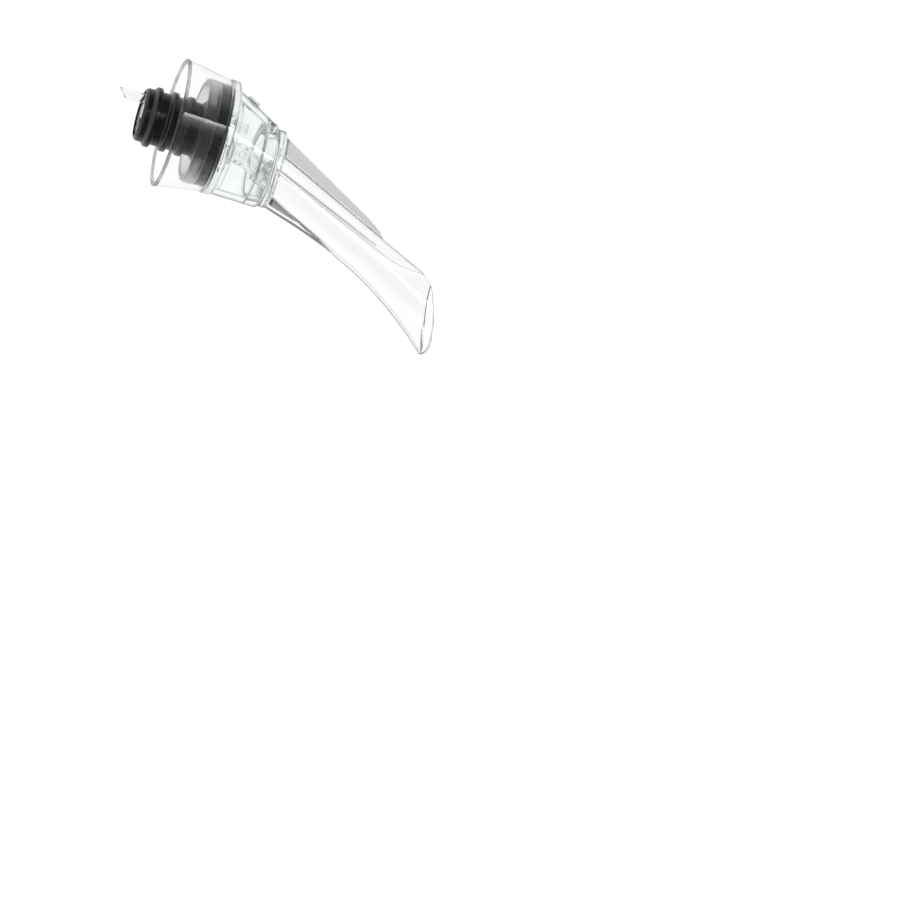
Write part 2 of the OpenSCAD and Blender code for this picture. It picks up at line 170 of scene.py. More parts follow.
def crossing(low, high, outside):
    """The place between two bounds where a test turns true, found by halving."""
    for _ in range(HALVINGS):
        middle = (low + high) / 2
        low, high = (low, middle) if outside(middle) else (middle, high)
    return low


def toward(point, other, cut):
    gap = (other - point).length
    return point if gap < NO_GAP else between(point, other, min(cut / gap, CUT_SHARE))


def soften(rings, cuts, closed=False, steps=EDGE_STEPS):
    """Rounds a run of rings at each ring with a cut: a short curve takes the corner's place."""
    out = []
    for k, ring in enumerate(rings):
        if not cuts[k] or (not closed and k in (0, len(rings) - 1)):
            out.append(ring)
            continue
        before, after = rings[k - 1], rings[(k + 1) % len(rings)]
        starts = [toward(p, q, cuts[k]) for p, q in zip(ring, before)]
        ends = [toward(p, q, cuts[k]) for p, q in zip(ring, after)]
        for s in range(steps + 1):
            u = s / steps
            curve = Ring(
                between(between(start, p, u), between(p, end, u), u)
                for start, p, end in zip(starts, ring, ends)
            )
            # A rounded edge is marked worn, which dulls it and, in clear plastic, paints grey shade along
            # it
            curve.wear_and_edge_shade = math.sin(math.pi * u)
            out.append(curve)
    return out


def new_skin():
    bm = bmesh.new()
    bm.verts.layers.float.new("wear_and_edge_shade")
    bm.verts.layers.float.new("frost_and_shade")
    return bm


def settle(bm, ring, points):
    """Moves a ring of vertices to its points."""
    wear_and_edge_shade = bm.verts.layers.float["wear_and_edge_shade"]
    for vert, point in zip(ring, points):
        vert.co = point * MM
        vert[wear_and_edge_shade] = getattr(points, "wear_and_edge_shade", 0.0)
    return ring


def ring_start(bm, points):
    return settle(bm, bmesh.ops.create_circle(bm, segments=len(points), radius=1.0)["verts"], points)


def ring_edges(ring):
    pairs = zip(ring, ring[1:] + ring[:1])
    return [next(e for e in a.link_edges if e.other_vert(a) == b) for a, b in pairs]


def ring_on(bm, ring, points):
    """Extrudes a ring to the next one."""
    made = bmesh.ops.extrude_edge_only(bm, edges=ring_edges(ring))["geom"]
    fresh = {g for g in made if isinstance(g, bmesh.types.BMVert)}
    grown = [next(e.other_vert(v) for e in v.link_edges if e.other_vert(v) in fresh) for v in ring]
    return settle(bm, grown, points)


def skin(bm, rings, closed=False):
    made = [ring_start(bm, rings[0])]
    for points in rings[1:] + (rings[:1] if closed else []):
        made.append(ring_on(bm, made[-1], points))
    return made


def fill_flat(bm, rings):
    """A flat face with holes between rings in one plane, with crisp borders."""
    edges = [e for ring in rings for e in ring_edges(ring)]
    bmesh.ops.triangle_fill(bm, edges=edges, use_beauty=True, use_dissolve=False)
    for edge in edges:
        edge.smooth = False


def block_border(grid, rows, cols):
    """The vertices round a block of a grid of rings, in order."""
    low, high = rows
    left, right = cols
    n = len(grid[0])
    return (
        [grid[low][c % n] for c in range(left, right)]
        + [grid[r][right % n] for r in range(low, high)]
        + [grid[high][c % n] for c in range(right, left, -1)]
        + [grid[r][left % n] for r in range(high, low, -1)]
    )


def open_block(bm, grid, rows, cols):
    """Cuts a block out of a skin and gives its border."""
    n = len(grid[0])
    inside = {grid[r][c % n] for r in range(rows[0], rows[1] + 1) for c in range(cols[0], cols[1] + 1)}
    border = block_border(grid, rows, cols)
    faces = [f for f in bm.faces if all(v in inside for v in f.verts)]
    bmesh.ops.delete(bm, geom=faces, context="FACES")
    return border


def facing_order(border, rows, width):
    """The border of a block in the inner wall, in the order of the one that it faces outside."""
    return [border[(rows + 2 * width - k) % len(border)] for k in range(len(border))]


def rows_of(rings, *wanted):
    """The rows that some rings have in a run of rings."""
    return tuple(next(k for k, ring in enumerate(rings) if ring is one) for one in wanted)


def finish_piece(bm, name, node, body, slot, material):
    """Closes a skin, makes it an object that stands for its solid and gives it its finish."""
    bmesh.ops.remove_doubles(bm, verts=bm.verts, dist=MERGE)
    bmesh.ops.dissolve_degenerate(bm, edges=bm.edges, dist=FLAT)
    bmesh.ops.recalc_face_normals(bm, faces=bm.faces)
    for face in bm.faces:
        face.smooth = True
    for edge in bm.edges:
        if len(edge.link_faces) == 2 and edge.calc_face_angle() > CREASE:
            edge.smooth = False
    mesh = bpy.data.meshes.new(name)
    bm.to_mesh(mesh)
    bm.free()
    mesh.materials.append(material)
    piece = bpy.data.objects.new(name, mesh)
    bpy.context.scene.collection.objects.link(piece)
    flats = piece.modifiers.new("even_flats", "WEIGHTED_NORMAL")
    flats.keep_sharp = True
    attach(piece, body)
    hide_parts(node)
    return piece


# Materials

def add(tree, kind, **values):
    node = tree.nodes.new(kind)
    for key, value in values.items():
        setattr(node, key, value)
    return node


def feed(tree, source, target):
    tree.links.new(source, target)


def maths(tree, operation, a, b=None, clamp=False):
    node = add(tree, "ShaderNodeMath", operation=operation, use_clamp=clamp)
    for socket, value in zip(node.inputs, (a, b)):
        if value is None:
            continue
        if isinstance(value, (int, float)):
            socket.default_value = value
        else:
            feed(tree, value, socket)
    return node.outputs[0]


def plus(tree, a, b):
    return maths(tree, "ADD", a, b)


def times(tree, a, b):
    return maths(tree, "MULTIPLY", a, b)


def most(tree, a, *others):
    for b in others:
        a = maths(tree, "MAXIMUM", a, b)
    return a


def stretch(tree, value, low, high, to_low=0.0, to_high=1.0):
    node = add(tree, "ShaderNodeMapRange", interpolation_type="SMOOTHSTEP")
    feed(tree, value, node.inputs["Value"])
    for name, number in zip(("From Min", "From Max", "To Min", "To Max"), (low, high, to_low, to_high)):
        node.inputs[name].default_value = number
    return node.outputs["Result"]


def noise(tree, vector, scale, detail=2.0, rough=0.5):
    node = add(tree, "ShaderNodeTexNoise")
    feed(tree, vector, node.inputs["Vector"])
    node.inputs["Scale"].default_value = scale
    node.inputs["Detail"].default_value = detail
    node.inputs["Roughness"].default_value = rough
    return node.outputs["Fac"]


def turned(tree, vector, turn, scale):
    node = add(tree, "ShaderNodeMapping")
    feed(tree, vector, node.inputs["Vector"])
    node.inputs["Rotation"].default_value = turn
    node.inputs["Scale"].default_value = scale
    return node.outputs["Vector"]


def attribute(tree, name):
    return add(tree, "ShaderNodeAttribute", attribute_name=name).outputs["Fac"]


def new_group(name, values):
    """A group that reads a place and puts out named values."""
    group = bpy.data.node_groups.new(name, "ShaderNodeTree")
    group.interface.new_socket("Vector", in_out="INPUT", socket_type="NodeSocketVector")
    for label in values:
        group.interface.new_socket(label, in_out="OUTPUT", socket_type="NodeSocketFloat")
    return group, add(group, "NodeGroupInput").outputs["Vector"], add(group, "NodeGroupOutput").inputs


def make_moulded_skin():
    """Flow marks, ripple and hairline scratches of a polished moulding."""
    group, place, put = new_group("moulded_skin", ("Cloud", "Scratch", "Relief"))
    flow = noise(group, turned(group, place, (0, POUR, 0), (1, 1, 0.35)), scale=130, detail=2)
    ripple = noise(group, place, scale=620, detail=1)
    lines = []
    for turn in ((0.3, 0.2, 0.4), (1.1, -0.5, 1.9)):
        strand = noise(group, turned(group, place, turn, (1, 1, 0.02)), scale=5200, detail=1)
        lines.append(stretch(group, strand, 0.7, 0.76))
    patches = stretch(group, noise(group, place, scale=240, detail=1), 0.5, 0.68)
    scratch = times(group, most(group, *lines), patches)
    waves = plus(group, times(group, flow, 0.75), times(group, ripple, 0.12))
    feed(group, flow, put["Cloud"])
    feed(group, scratch, put["Scratch"])
    feed(group, maths(group, "SUBTRACT", waves, times(group, scratch, 0.06)), put["Relief"])
    return group


def make_rubber_grain():
    """Fine speckle and soft bloom of moulded rubber."""
    group, place, put = new_group("rubber_grain", ("Bloom", "Speck", "Relief"))
    cloud = noise(group, place, scale=210, detail=4, rough=0.6)
    dots = noise(group, place, scale=4200, detail=1)
    feed(group, stretch(group, cloud, 0.42, 0.7), put["Bloom"])
    feed(group, stretch(group, dots, 0.62, 0.74), put["Speck"])
    feed(group, noise(group, place, scale=2600, detail=3, rough=0.6), put["Relief"])
    return group


MOULDED_SKIN = make_moulded_skin()
RUBBER_GRAIN = make_rubber_grain()


def new_material(name):
    material = bpy.data.materials.new(name)
    material.use_nodes = True
    tree = material.node_tree
    tree.nodes.clear()
    shader = add(tree, "ShaderNodeBsdfPrincipled")
    feed(tree, shader.outputs["BSDF"], add(tree, "ShaderNodeOutputMaterial").inputs["Surface"])
    return material, tree, shader, add(tree, "ShaderNodeTexCoord").outputs["Object"]


def use_group(tree, group, place):
    node = add(tree, "ShaderNodeGroup", node_tree=group)
    feed(tree, place, node.inputs["Vector"])
    return node.outputs


def relief_on(tree, shader, height, strength, depth):
    bump = add(tree, "ShaderNodeBump")
    bump.inputs["Strength"].default_value = strength
    bump.inputs["Distance"].default_value = depth
    feed(tree, height, bump.inputs["Height"])
    feed(tree, bump.outputs["Normal"], shader.inputs["Normal"])


def shade(tree, factor, dark, light):
    node = add(tree, "ShaderNodeMix", data_type="RGBA")
    feed(tree, factor, node.inputs["Factor"])
    node.inputs["A"].default_value = (*dark, 1)
    node.inputs["B"].default_value = (*light, 1)
    return node.outputs["Result"]


def tint_inside(tree, colour, density):
    """A tint that deepens with thickness."""
    volume = add(tree, "ShaderNodeVolumeAbsorption")
    volume.inputs["Color"].default_value = (*colour, 1)
    volume.inputs["Density"].default_value = density
    feed(tree, volume.outputs["Volume"], tree.get_output_node("ALL").inputs["Volume"])


def clear_plastic(name, light, edge, limb_shade_span, tint, density):
    """Polished clear acrylic with flow marks, dulled where it is rubbed or frosted, and painted with grey
    shade there and where it is seen along its wall.
    """
    material, tree, shader, place = new_material(name)
    marks = use_group(tree, MOULDED_SKIN, place)
    # Where the wall is seen edge-on, by the Layer Weight's facing, grey shade is painted into the colour
    facing = add(tree, "ShaderNodeLayerWeight")
    facing.inputs["Blend"].default_value = 0.5
    limb_shade = stretch(tree, facing.outputs["Facing"], *limb_shade_span)
    # Frost dulls the fin and the web's pocket, and also paints grey shade into their colour
    frost_and_shade = attribute(tree, "frost_and_shade")
    # Worn edges and corners are dulled, and grey shade is painted into their colour
    rubbed_and_shaded = times(tree, attribute(tree, "wear_and_edge_shade"), stretch(tree, marks["Cloud"], 0.3, 0.7, 0.45, 0.7))
    painted_shade = most(tree, limb_shade, rubbed_and_shaded, times(tree, frost_and_shade, 0.75))
    flow = times(tree, marks["Cloud"], 0.04)
    clear = maths(tree, "SUBTRACT", 1.02, plus(tree, painted_shade, flow), clamp=True)
    # edge is the colour of the painted grey shade, and light is the clear tint
    feed(tree, shade(tree, clear, edge, light), shader.inputs["Base Color"])
    polished = plus(tree, times(tree, marks["Scratch"], 0.16), 0.012)
    dulled = times(tree, most(tree, frost_and_shade, rubbed_and_shaded), 0.2)
    feed(tree, plus(tree, polished, dulled), shader.inputs["Roughness"])
    shader.inputs["Transmission Weight"].default_value = 1.0
    shader.inputs["IOR"].default_value = 1.49
    relief_on(tree, shader, marks["Relief"], strength=0.05, depth=0.0006)
    tint_inside(tree, tint, density)
    return material


def black_rubber():
    material, tree, shader, place = new_material("black_rubber")
    grain = use_group(tree, RUBBER_GRAIN, place)
    dust = plus(tree, times(tree, grain["Bloom"], 0.6), times(tree, grain["Speck"], 0.5))
    tone = shade(tree, dust, (0.004, 0.004, 0.0045), (0.014, 0.0145, 0.015))
    feed(tree, tone, shader.inputs["Base Color"])
    feed(tree, plus(tree, times(tree, grain["Bloom"], 0.1), 0.2), shader.inputs["Roughness"])
    shader.inputs["Specular IOR Level"].default_value = 0.4
    relief_on(tree, shader, grain["Relief"], strength=0.12, depth=0.0002)
    return material


def pale_silicone():
    material, tree, shader, place = new_material("pale_silicone")
    grain = use_group(tree, RUBBER_GRAIN, place)
    tone = shade(tree, grain["Bloom"], (0.82, 0.83, 0.83), (0.84, 0.85, 0.85))
    feed(tree, tone, shader.inputs["Base Color"])
    feed(tree, plus(tree, times(tree, grain["Bloom"], 0.04), 0.3), shader.inputs["Roughness"])
    shader.inputs["Transmission Weight"].default_value = 1.0
    shader.inputs["IOR"].default_value = 1.41
    relief_on(tree, shader, grain["Relief"], strength=0.02, depth=0.0002)
    return material


# Each clear plastic: its clear tint, the colour of its painted grey shade, and the span of facing over
# which its limb is painted with shade
CLEAR_BASE = clear_plastic(
    "clear_base",
    light=(0.985, 0.99, 0.99), edge=(0.12, 0.125, 0.125), limb_shade_span=(0.96, 1.2),
    tint=(0.78, 0.88, 0.86), density=14,
)
CLEAR_CHAMBER = clear_plastic(
    "clear_chamber",
    light=(0.98, 0.99, 0.988), edge=(0.12, 0.128, 0.126), limb_shade_span=(0.62, 0.82),
    tint=(0.72, 0.88, 0.85), density=24,
)
CLEAR_SPOUT = clear_plastic(
    "clear_spout",
    light=(0.985, 0.99, 0.99), edge=(0.06, 0.062, 0.062), limb_shade_span=(0.54, 0.82),
    tint=(0.80, 0.88, 0.87), density=10,
)
CLEAR_TUBE = clear_plastic(
    "clear_tube",
    light=(0.975, 0.985, 0.982), edge=(0.12, 0.126, 0.125), limb_shade_span=(0.66, 0.95),
    tint=(0.72, 0.86, 0.83), density=24,
)
BLACK_RUBBER = black_rubber()
PALE_SILICONE = pale_silicone()


# Base moulding, stopper and lip ring

SKIRT_TURNS, SOCKET_TURNS, BREATHER_TURNS = even_turns(160), even_turns(64), even_turns(48)
RUBBER_TURNS = even_turns(144)


def skirt_r(z):
    """Outer radius of the flared skirt at a level."""
    return between(RIM_R, ROOT_R, (z - RIM_LOW) / (BAND_LOW - RIM_LOW))


def skirt_corners():
    """Rings with their roundings, from the register on the plate, over the skirt, to the spigot's end."""
    turns = SKIRT_TURNS
    lead, face = BEAD_TOP + BEAD_LEAD, BEAD_TOP - BEAD_DROP
    return [
        (cone_ring(REGISTER_IN, PLATE_TOP, turns), 0),
        (cone_ring(REGISTER_IN, REGISTER_TOP, turns), 0.3),
        (cone_ring(REGISTER_OUT, REGISTER_TOP, turns), 0.3),
        (cone_ring(REGISTER_OUT, PLATE_TOP, turns), 0.15),
        (circle(0, BAND_R - BAND_BEVEL, PLATE_TOP, turns), 0.2),
        (circle(0, BAND_R, PLATE_TOP - BAND_BEVEL, turns), 0.25),
        (circle(0, BAND_R, BAND_LOW + BAND_BEVEL, turns), 0.25),
        (circle(0, ROOT_R, BAND_LOW, turns), 0.2),
        (circle(0, skirt_r(lead), lead, turns), 0),
        (circle(0, skirt_r(BEAD_TOP) - BEAD_STEP, BEAD_TOP, turns), 0.12),
        (circle(0, RIM_R, face, turns), 0.12),
        (circle(0, RIM_R, RIM_LOW, turns), 0.5),
        (circle(0, RIM_R - SKIRT_WALL, RIM_LOW, turns), 0.5),
        (circle(0, RIM_R - SKIRT_WALL, face, turns), 0.12),
        (circle(0, skirt_r(BEAD_TOP) - SKIRT_WALL + BEAD_STEP, BEAD_TOP, turns), 0.12),
        (circle(0, skirt_r(lead) - SKIRT_WALL, lead, turns), 0),
        (circle(0, ROOT_R - SKIRT_WALL, BAND_LOW, turns), 0.3),
        (circle(0, ROOT_R - SKIRT_WALL, COLLAR_T, turns), 0.35),
        (circle(0, SPIGOT_R, COLLAR_T, turns), 0.3),
        (circle(0, SPIGOT_R, SPIGOT_END + SPIGOT_CHAMFER, turns), 0.3),
        (circle(0, SPIGOT_R - SPIGOT_CHAMFER, SPIGOT_END, turns), 0),
    ]


def bore_corners():
    """Rings with their roundings of the wine tube's socket and of the bore through the spigot."""
    turns = SOCKET_TURNS
    return [
        (circle(WINE_X, SOCKET_OUT_R, PLATE_TOP, turns), 0),
        (circle(WINE_X, SOCKET_OUT_R, SOCKET_TOP, turns), 0.25),
        (circle(WINE_X, SOCKET_R, SOCKET_TOP, turns), 0.25),
        (circle(WINE_X, SOCKET_R, PLATE_TOP, turns), 0.1),
        (circle(WINE_X, WINE_BORE_R, PLATE_TOP, turns), 0.15),
        (circle(WINE_X, WINE_BORE_R, SPIGOT_END, turns), 0),
    ]


def build_drip_skirt():
    bm = new_skin()
    wall = skin(bm, soften(*zip(*skirt_corners())))
    bore = skin(bm, soften(*zip(*bore_corners())))
    hole_r = BREATHER_R + PUSH_GAP
    hole = skin(bm, [circle(BREATHER_X, hole_r, z, BREATHER_TURNS) for z in (PLATE_TOP, SPIGOT_END)])
    fill_flat(bm, [wall[0], bore[0], hole[0]])
    fill_flat(bm, [wall[-1], bore[-1], hole[-1]])
    wear_and_edge_shade = bm.verts.layers.float["wear_and_edge_shade"]
    # The skirt's rim below the bead is marked worn: dulled, and painted grey as shade
    for ring in wall:
        for vert in ring:
            if vert.co.z / MM < WORN_AND_SHADED_BELOW and vert.co.xy.length / MM > COLLAR_R:
                vert[wear_and_edge_shade] = 1.0
    return finish_piece(bm, "clear_drip_skirt", "drip_skirt", "pourer", "clear_base", CLEAR_BASE)


def turned_piece(corners, *finish):
    """A closed turned form from (radius, height, rounding) corners."""
    bm = new_skin()
    rings = [circle(0, r, z, RUBBER_TURNS) for r, z, _ in corners]
    skin(bm, soften(rings, [rounding for _, _, rounding in corners], closed=True), closed=True)
    return finish_piece(bm, *finish)


def build_stopper():
    top = COLLAR_T - AIR
    corners = [
        (COLLAR_R, top, 0.3),
        (COLLAR_R, LIP_TOP, 0.3),
        (SEAT_R, LIP_TOP, 0.2),
        (SEAT_R, 0.0, 0.25),
    ]
    for k in range(RIB_COUNT):
        z = -k * RIB_PITCH
        if k:
            corners.append((CORE_R, z, 0.3))
        corners += [
            (RIB_R, z, 0.3),
            (RIB_R, z - RIB_LAND, 0.35),
            (CORE_R, z - RIB_LAND - RIB_RUN, 0.4),
        ]
    corners += [
        (CORE_R, PLUG_CHAMFER - PLUG_LEN, 0.3),
        (CORE_R - PLUG_CHAMFER, -PLUG_LEN, 0.2),
        (BORE_R, -PLUG_LEN, 0.15),
        (BORE_R, top, 0.2),
    ]
    return turned_piece(corners, "rubber_stopper", "stopper", "stopper", "black_rubber", BLACK_RUBBER)


def build_lip_ring():
    corners = [
        (LIP_IN_R, LIP_TOP - AIR, 0.2),
        (LIP_IN_R, LIP_LOW, LIP_ROUND),
        (LIP_OUT_R, LIP_LOW, LIP_ROUND),
        (LIP_OUT_R, LIP_TOP - AIR, 0.35),
    ]
    return turned_piece(corners, "silicone_lip_ring", "lip_ring", "stopper", "pale_silicone", PALE_SILICONE)


# Tubes

TUBE_TURNS = even_turns(40)

# Rounding of the wine tube's ends, and where its rings lie near its ends and its knuckle
TUBE_EDGE, TUBE_END = 0.2, 1.5
KNUCKLE_FROM, KNUCKLE_TO = 1.9, 2.4

# The block of the wine tube's wall that an air hole takes: rows, columns to each side, and reach
HOLE_ROWS, HOLE_COLS, HOLE_REACH = 8, 3, 1.44


def wine_path(s):
    """A point of the wine tube's middle line, with the lean there, at a distance past the bend."""
    bend = Vector((WINE_X, 0, BEND_Z))
    up, lean = Vector((0, 0, 1)), Vector((math.sin(POUR), 0, math.cos(POUR)))
    if s <= -BEND_ROUND:
        return bend + up * s, 0.0
    if s >= BEND_ROUND:
        return bend + lean * s, POUR
    u = (s + BEND_ROUND) / (2 * BEND_ROUND)
    start, end = bend - up * BEND_ROUND, bend + lean * BEND_ROUND
    return between(between(start, bend, u), between(bend, end, u), u), POUR * u


def wine_ring(s, r, turns):
    """A ring square to the wine tube's middle line, at a distance past the bend."""
    middle, lean = wine_path(s)
    across = Vector((math.cos(lean), 0, -math.sin(lean)))
    return [middle - across * r * math.cos(a) + Vector((0, r * math.sin(a), 0)) for a in turns]


def swell(r, knuckle, s):
    return math.sqrt(max(r * r, knuckle * knuckle - s * s))


def build_wine_tube():
    bm = new_skin()
    low, high = PLATE_TOP + AIR - BEND_Z, SLANT_LEN - AIR
    below = [low, low + TUBE_END, -KNUCKLE_TO, -KNUCKLE_FROM]
    above = [KNUCKLE_FROM, KNUCKLE_TO, high - TUBE_END, high]
    stops = below + [HOLE_REACH * (2 * k / HOLE_ROWS - 1) for k in range(HOLE_ROWS + 1)] + above
    outer = [wine_ring(s, swell(WINE_R, KNUCKLE_R, s), TUBE_TURNS) for s in stops]
    inner = [wine_ring(s, swell(WINE_BORE_R, KNUCKLE_BORE_R, s), TUBE_TURNS) for s in reversed(stops)]
    ends = (outer[0], outer[-1], inner[0], inner[-1])
    rings = outer + inner
    rings = soften(rings, [TUBE_EDGE if any(r is e for e in ends) else 0 for r in rings], closed=True)
    grid = skin(bm, rings, closed=True)
    first, last = len(below), len(below) + HOLE_ROWS
    quarter = len(TUBE_TURNS) // 4
    for side, sign in ((quarter, 1), (3 * quarter, -1)):
        cols = (side - HOLE_COLS, side + HOLE_COLS)
        border = open_block(bm, grid, rows_of(rings, outer[first], outer[last]), cols)
        inside = open_block(bm, grid, rows_of(rings, inner[first], inner[last]), cols)
        inside = facing_order(inside, HOLE_ROWS, 2 * HOLE_COLS)
        turns = [math.atan2(v.co.z / MM - BEND_Z, v.co.x / MM - WINE_X) for v in border]
        steps = (
            (KNUCKLE_R, AIR_HOLE_R + AIR_HOLE_EDGE),
            (KNUCKLE_R - AIR_HOLE_EDGE, AIR_HOLE_R),
            (KNUCKLE_BORE_R, AIR_HOLE_R),
        )
        ring = border
        for r, hole in steps:
            y = sign * math.sqrt(r * r - hole * hole)
            ring = ring_on(bm, ring, [
                Vector((WINE_X + hole * math.cos(a), y, BEND_Z + hole * math.sin(a))) for a in turns
            ])
        ring_on(bm, ring, [v.co / MM for v in inside])
    return finish_piece(bm, "clear_wine_tube", "wine_tube", "pourer", "clear_tube", CLEAR_TUBE)


def build_air_tube():
    bm = new_skin()

    def cut_end(r):
        ring = circle(BREATHER_X, r, BREATHER_LOW, TUBE_TURNS)
        left = BREATHER_X - BREATHER_R
        return [Vector((p.x, p.y, BREATHER_LOW + (p.x - left) * BREATHER_CUT)) for p in ring]

    corners = [
        (cut_end(BREATHER_R), 0.12),
        (circle(BREATHER_X, BREATHER_R, BREATHER_TOP, TUBE_TURNS), 0.18),
        (circle(BREATHER_X, BREATHER_BORE_R, BREATHER_TOP, TUBE_TURNS), 0.18),
        (cut_end(BREATHER_BORE_R), 0.12),
    ]
    skin(bm, soften(*zip(*corners), closed=True), closed=True)
    return finish_piece(bm, "clear_air_tube", "air_tube", "pourer", "clear_tube", CLEAR_TUBE)


# Chamber

CHAMBER_TURNS = even_turns(144)

# The block of the chamber's wall that the air inlet takes: rows and their height, columns to each
# side, the outer block's foot, the inner block's head, and plain levels below and above
INLET_ROWS, INLET_ROW_H, INLET_COLS = 10, 0.6, 5
INLET_OUT_LOW, INLET_IN_HIGH = 10.1, 15.2
PLAIN_OUT_LOW, PLAIN_OUT_HIGH, PLAIN_IN_LOW = 9.0, 19.5, 8.4
CONE_SEARCH = 4.0


def on_cone(point, along, inset):
    """Where a line meets the chamber's cone."""
    def outside(s):
        p = point + along * s
        x, rx, ry = cone_slice(inset, p.z)
        return ((p.x - x) / rx) ** 2 + (p.y / ry) ** 2 > 1
    return point + along * crossing(-CONE_SEARCH, CONE_SEARCH, outside)


def raise_inlet(bm, border, inside):
    """The raised air inlet with its hole, between the openings in the outer and the inner wall."""
    lean = math.atan(RUN_BACK)
    along = Vector((-math.cos(lean), 0, math.sin(lean)))
    up = Vector((math.sin(lean), 0, math.cos(lean)))
    middle = Vector((BASE_BACK + RUN_BACK * INLET_Z, 0, PLATE_TOP + INLET_Z))
    offsets = [v.co / MM - middle for v in border]
    turns = [math.atan2(p.y, p.dot(up)) for p in offsets]

    def round_at(r):
        return [middle + up * r * math.cos(a) + Vector((0, r * math.sin(a), 0)) for a in turns]

    def standing(r, height):
        return [p + along * height for p in round_at(r)]

    def on_wall(r, inset):
        return [on_cone(p, along, inset) for p in round_at(r)]

    corners = [
        ([v.co / MM for v in border], 0),
        (on_wall(INLET_R + INLET_FILLET, 0), 0),
        (standing(INLET_R, INLET_FILLET), 0.12),
        (standing(INLET_R, INLET_RISE), 0.25),
        (standing(INLET_HOLE_R, INLET_RISE), 0.2),
        (on_wall(INLET_HOLE_R, CHAMBER_WALL), 0),
        ([v.co / MM for v in inside], 0),
    ]
    ring = border
    for points in soften(*zip(*corners))[1:]:
        ring = ring_on(bm, ring, points)


def build_chamber():
    bm = new_skin()
    turns = CHAMBER_TURNS
    foot = PLATE_TOP + AIR
    rises = [INLET_ROW_H * k for k in range(INLET_ROWS + 1)]
    boss_out = [cone_ring(0, INLET_OUT_LOW + rise, turns) for rise in rises]
    boss_in = [cone_ring(CHAMBER_WALL, INLET_IN_HIGH - rise, turns) for rise in rises]
    corners = [(cone_ring(0, foot, turns), 0.2), (cone_ring(0, PLAIN_OUT_LOW, turns), 0)]
    corners += [(ring, 0) for ring in boss_out]
    corners += [
        (cone_ring(0, PLAIN_OUT_HIGH, turns), 0),
        (cone_ring(0, CHAMBER_TOP - END_BEVEL, turns), 0.5),
        (oval(END_X, END_LAND_RX, END_LAND_RY, CHAMBER_TOP, turns), 0.3),
        (circle(END_X, LAND_R, CHAMBER_TOP, turns), 0.15),
        (circle(END_X, LAND_R, LAND_Z, turns), 0.5),
        (cone_ring(CHAMBER_WALL, LAND_Z, turns), 0.8),
    ]
    corners += [(ring, 0) for ring in boss_in]
    corners += [
        (cone_ring(CHAMBER_WALL, PLAIN_IN_LOW, turns), 0),
        (cone_ring(CHAMBER_WALL, foot, turns), 0.2),
    ]
    rings = soften(*zip(*corners), closed=True)
    grid = skin(bm, rings, closed=True)
    cols = (-INLET_COLS, INLET_COLS)
    border = open_block(bm, grid, rows_of(rings, boss_out[0], boss_out[-1]), cols)
    inside = open_block(bm, grid, rows_of(rings, boss_in[0], boss_in[-1]), cols)
    raise_inlet(bm, border, facing_order(inside, INLET_ROWS, 2 * INLET_COLS))
    return finish_piece(bm, "clear_chamber", "aeration_chamber", "pourer", "clear_chamber", CLEAR_CHAMBER)


# Spout, as distances from the plug's axis at a height above the chamber

def past(t, start):
    return max(0.0, t - start)


def ceiling_x(t):
    return CHANNEL_X - HALF_ROOT + (RISE - FLARE) * t - CEILING_K * past(t, CEILING_START) ** 2


def floor_x(t):
    return CHANNEL_X + HALF_ROOT + (RISE + FLARE) * t + BELLY_K * past(t, BELLY_START) ** 2


def back_x(t):
    return CHANNEL_X - HALF_ROOT - BACK_T / math.cos(POUR) + RISE * t


def belly_x(t):
    return floor_x(t) + FLOOR_T / math.cos(POUR)


def under_x(t):
    """The body's underside, drawn in a little over the web's pocket."""
    return belly_x(t) - POCKET_LIFT * ease(1 - t / POCKET_LEN)


def rim_x(t):
    drop = WEB_DROP * (1 - t / WEB_LEN) ** 2 - WEB_SINK * t / WEB_LEN
    return belly_x(t) + drop - RIM_ROOT_DRAW * math.exp(-(t - FLANGE_T) / RIM_ROOT_RUN)


def widening(t):
    return (past(t, SPREAD_START) / SPREAD_RUN) ** 2


def channel_half(t):
    return CHANNEL_R + CHANNEL_SPREAD * widening(t)


def outer_half(t):
    return CHANNEL_R + SIDE_T + OUTER_SPREAD * widening(t)


def fin_x(t):
    end_x = back_x(FIN_LEN) - FIN_END_H
    stand = back_x(t) - between(FIN_ROOT_X, end_x, (t - FLANGE_T) / (FIN_LEN - FLANGE_T))
    nose = min(1.0, past(t, NOSE_START) / (FIN_LEN + NOSE_PAST - NOSE_START))
    return back_x(t) - stand * math.sqrt(1 - nose * nose)


# Turns from the back to the belly and round again, closer together at the fin and at the web
CURVE_STEPS, SIDE_STEPS = 6, 64
FIN_STRAIGHTS, WEB_STRAIGHTS = (4, 10, 4), (2, 4, 1, 2, 3)
FIN_STEPS = sum(FIN_STRAIGHTS) + CURVE_STEPS * (len(FIN_STRAIGHTS) - 1)
WEB_STEPS = sum(WEB_STRAIGHTS) + CURVE_STEPS * (len(WEB_STRAIGHTS) - 1)
FIN_TURN, WEB_TURN = math.radians(16.5), math.radians(157.8)
HALF_TURNS = (
    [FIN_TURN * k / FIN_STEPS for k in range(FIN_STEPS)]
    + [between(FIN_TURN, WEB_TURN, k / SIDE_STEPS) for k in range(SIDE_STEPS)]
    + [between(WEB_TURN, math.pi, k / WEB_STEPS) for k in range(WEB_STEPS + 1)]
)
TURNS = HALF_TURNS + [2 * math.pi - a for a in HALF_TURNS[-2:0:-1]]


